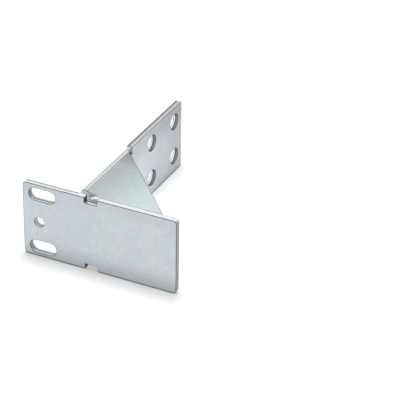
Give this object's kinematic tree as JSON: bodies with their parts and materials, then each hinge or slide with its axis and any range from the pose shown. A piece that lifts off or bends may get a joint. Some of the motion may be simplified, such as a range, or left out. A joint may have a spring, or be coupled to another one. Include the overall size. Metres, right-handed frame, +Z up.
{
  "type": "rack mount ear bracket",
  "caption": "Zinc-plated steel ear for a 1U rack position: slotted front plate, long drilled side flange, and a triangular web folded between them.",
  "frame": {"origin": "centre of the bounding box's foot, on the surface that the bottom edges rest on", "axes": "+X runs along the front plate from its slotted end, +Y runs back along the side flange, +Z is up"},
  "size_m": [0.09, 0.122, 0.0437],
  "materials": {
    "zinc_plate": "satin zinc plating on steel sheet"
  },
  "bodies": {
    "root": {"ear_bracket": "zinc_plate"}
  },
  "joints": []
}
